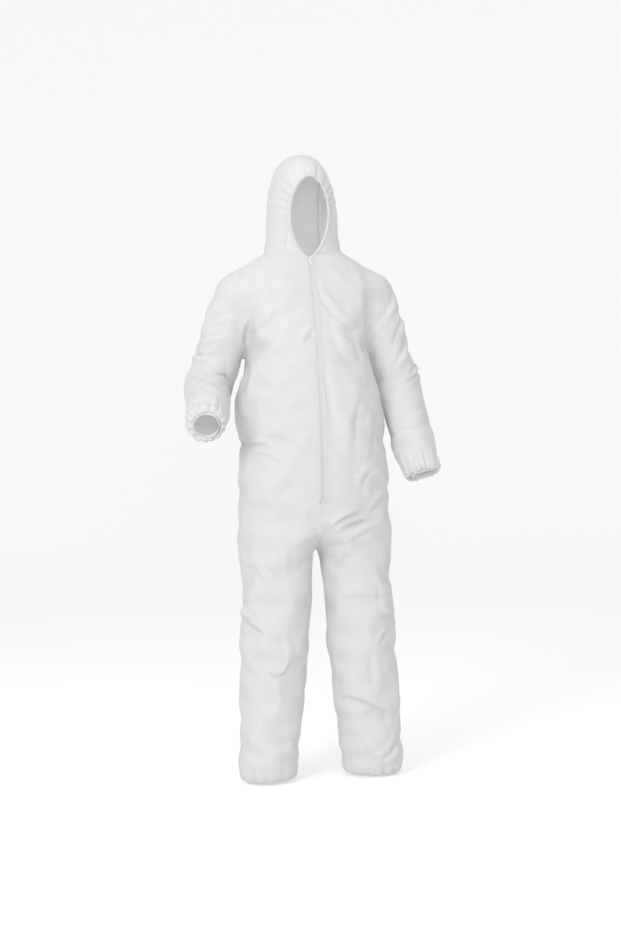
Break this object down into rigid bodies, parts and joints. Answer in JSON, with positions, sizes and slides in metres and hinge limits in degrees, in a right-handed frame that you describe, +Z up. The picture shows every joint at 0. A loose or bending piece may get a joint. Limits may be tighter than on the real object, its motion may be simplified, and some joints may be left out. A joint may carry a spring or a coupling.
{
  "type": "chemical protective suit",
  "caption": "White disposable hooded coverall with a front coil zip, elastic face opening, wrists, waist and ankles, in a worn standing shape with hinged limbs.",
  "frame": {"origin": "on the ground, midway between the two leg hems", "axes": "+Z up, -Y the way the wearer faces, +X to the wearer's left"},
  "size_m": [0.7094, 0.318, 1.72],
  "materials": {
    "film": "matte white nonwoven laminate with a fine point-bond emboss",
    "seam": "serged white seam",
    "elastic": "white covered elastic",
    "tape": "woven white zip tape",
    "zip_plastic": "white moulded coil and slider"
  },
  "bodies": {
    "torso": {"front_torso_right": "film", "front_torso_left": "film", "back_torso_right": "film", "back_torso_left": "film", "centre_back_seam": "seam", "side_seam_right": "seam", "side_seam_left": "seam", "shoulder_seam_right": "seam", "shoulder_seam_left": "seam", "neck_seam": "seam", "armhole_seam_right": "seam", "armhole_seam_left": "seam", "waist_elastic": "elastic", "zip_tape_right": "tape", "zip_tape_left": "tape", "zip_coil_right": "zip_plastic", "zip_coil_left": "zip_plastic", "zip_top_stops": "zip_plastic", "zip_bottom_stop": "zip_plastic"},
    "hood": {"hood_side_right": "film", "hood_side_left": "film", "hood_centre": "film", "hood_elastic": "elastic", "hood_seams": "seam"},
    "zip_slider": {"zip_slider": "zip_plastic"},
    "zip_pull": {"zip_pull": "zip_plastic"},
    "upper_arm_right": {"sleeve_upper_right": "film", "sleeve_seam_upper_right": "seam"},
    "forearm_right": {"sleeve_elbow_right": "film", "sleeve_end_right": "film", "forearm_seam_right": "seam", "sleeve_seam_lower_right": "seam", "wrist_elastic_right": "elastic"},
    "thigh_right": {"front_thigh_right": "film", "back_thigh_right": "film", "thigh_seams_right": "seam"},
    "shin_right": {"front_shin_right": "film", "back_shin_right": "film", "shin_seams_right": "seam", "ankle_elastic_right": "elastic"},
    "upper_arm_left": {"sleeve_upper_left": "film", "sleeve_seam_upper_left": "seam"},
    "forearm_left": {"sleeve_elbow_left": "film", "sleeve_end_left": "film", "forearm_seam_left": "seam", "sleeve_seam_lower_left": "seam", "wrist_elastic_left": "elastic"},
    "thigh_left": {"front_thigh_left": "film", "back_thigh_left": "film", "thigh_seams_left": "seam"},
    "shin_left": {"front_shin_left": "film", "back_shin_left": "film", "shin_seams_left": "seam", "ankle_elastic_left": "elastic"}
  },
  "joints": [
    {"name": "hood_fold", "type": "hinge", "parent": "torso", "child": "hood", "pos_m": [0, 0.096, 1.464], "axis": [-1, 0, 0], "range_deg": [0, 60]},
    {"name": "zip_travel", "type": "hinge", "parent": "torso", "child": "zip_slider", "pos_m": [0, 1.17077, 0.97244], "axis": [1, 0, 0], "range_deg": [0, 28.67]},
    {"name": "zip_pull_flip", "type": "hinge", "parent": "zip_slider", "child": "zip_pull", "pos_m": [0, -0.08533, 1.42088], "axis": [-1, 0, 0], "range_deg": [0, 150]},
    {"name": "shoulder_right", "type": "hinge", "parent": "torso", "child": "upper_arm_right", "pos_m": [-0.185, 0.008, 1.325], "axis": [0, 1, 0], "range_deg": [0, 50]},
    {"name": "elbow_right", "type": "hinge", "parent": "upper_arm_right", "child": "forearm_right", "pos_m": [-0.266, 0.06, 1.09], "axis": [-0.944, 0.018, 0.3294], "range_deg": [-66, 34]},
    {"name": "shoulder_left", "type": "hinge", "parent": "torso", "child": "upper_arm_left", "pos_m": [0.185, 0.008, 1.325], "axis": [0, -1, 0], "range_deg": [0, 50]},
    {"name": "elbow_left", "type": "hinge", "parent": "upper_arm_left", "child": "forearm_left", "pos_m": [0.256, 0.01, 1.088], "axis": [-0.9579, 0, -0.287], "range_deg": [-15, 90]},
    {"name": "hip_right", "type": "hinge", "parent": "torso", "child": "thigh_right", "pos_m": [-0.106, -0.005, 0.665], "axis": [-1, 0, 0], "range_deg": [-20, 75]},
    {"name": "knee_right", "type": "hinge", "parent": "thigh_right", "child": "shin_right", "pos_m": [-0.122, -0.005, 0.365], "axis": [1, 0, 0], "range_deg": [0, 110]},
    {"name": "hip_left", "type": "hinge", "parent": "torso", "child": "thigh_left", "pos_m": [0.106, -0.005, 0.665], "axis": [-1, 0, 0], "range_deg": [-20, 75]},
    {"name": "knee_left", "type": "hinge", "parent": "thigh_left", "child": "shin_left", "pos_m": [0.122, -0.005, 0.365], "axis": [1, 0, 0], "range_deg": [0, 110]}
  ]
}
